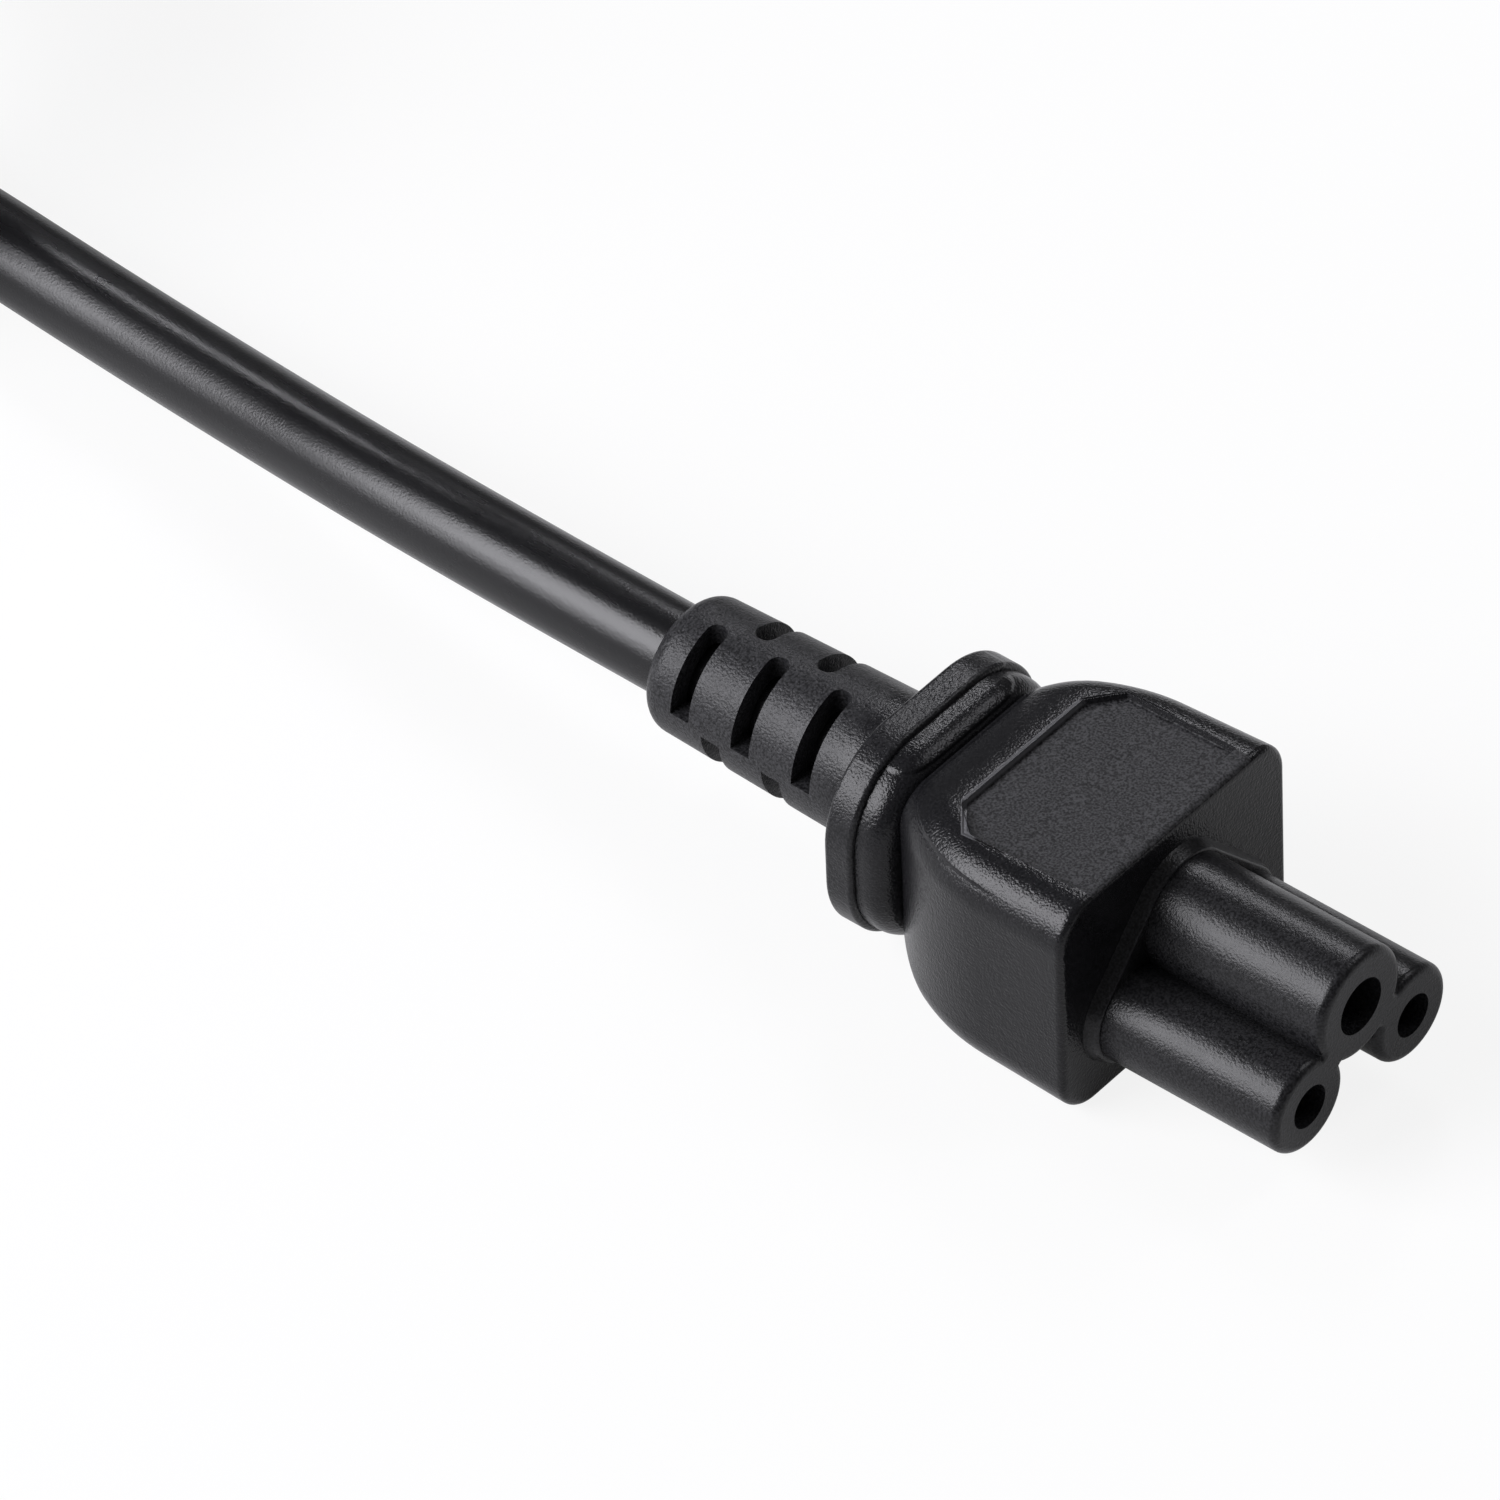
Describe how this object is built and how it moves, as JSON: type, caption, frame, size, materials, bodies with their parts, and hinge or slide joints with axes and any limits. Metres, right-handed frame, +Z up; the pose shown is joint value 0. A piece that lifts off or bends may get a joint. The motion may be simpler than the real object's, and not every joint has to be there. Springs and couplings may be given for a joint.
{
  "type": "cloverleaf power cord",
  "caption": "Three-pole cloverleaf appliance connector with sloped body, flange and slotted relief, moulded on a round black mains cord that ends in a grounded plug.",
  "frame": {"origin": "under the middle of the connector, on the surface that the connector, tie and plug lie on", "axes": "+X out of the cloverleaf towards the inlet it mates with, +Y to the connector's side, +Z up"},
  "size_m": [0.3615, 0.0438, 0.0264],
  "materials": {
    "black_pvc": "satin, fine spark-eroded grain",
    "black_nylon": "satin, fine grain",
    "contact_brass": "drawn and slit",
    "earth_insulation": "smooth, green with a yellow stripe",
    "line_insulation": "smooth, brown",
    "neutral_insulation": "smooth, blue",
    "cord_jacket": "extruded, smooth satin",
    "tie_band": "moulded, matt",
    "plated_blade": "bright nickel plate"
  },
  "bodies": {
    "root": {"connector_body": "black_pvc", "cloverleaf_insert": "black_nylon", "earth_contact": "contact_brass", "line_contact": "contact_brass", "neutral_contact": "contact_brass", "earth_core": "earth_insulation", "line_core": "line_insulation", "neutral_core": "neutral_insulation", "cord_lead": "cord_jacket", "cord_hank": "cord_jacket", "cord_tail": "cord_jacket", "cord_tie": "tie_band", "plug_body": "black_pvc", "plug_bridge": "black_nylon", "line_blade": "plated_blade", "neutral_blade": "plated_blade", "plug_earth_pin": "plated_blade", "plug_earth_core": "earth_insulation", "plug_line_core": "line_insulation", "plug_neutral_core": "neutral_insulation"}
  },
  "joints": []
}
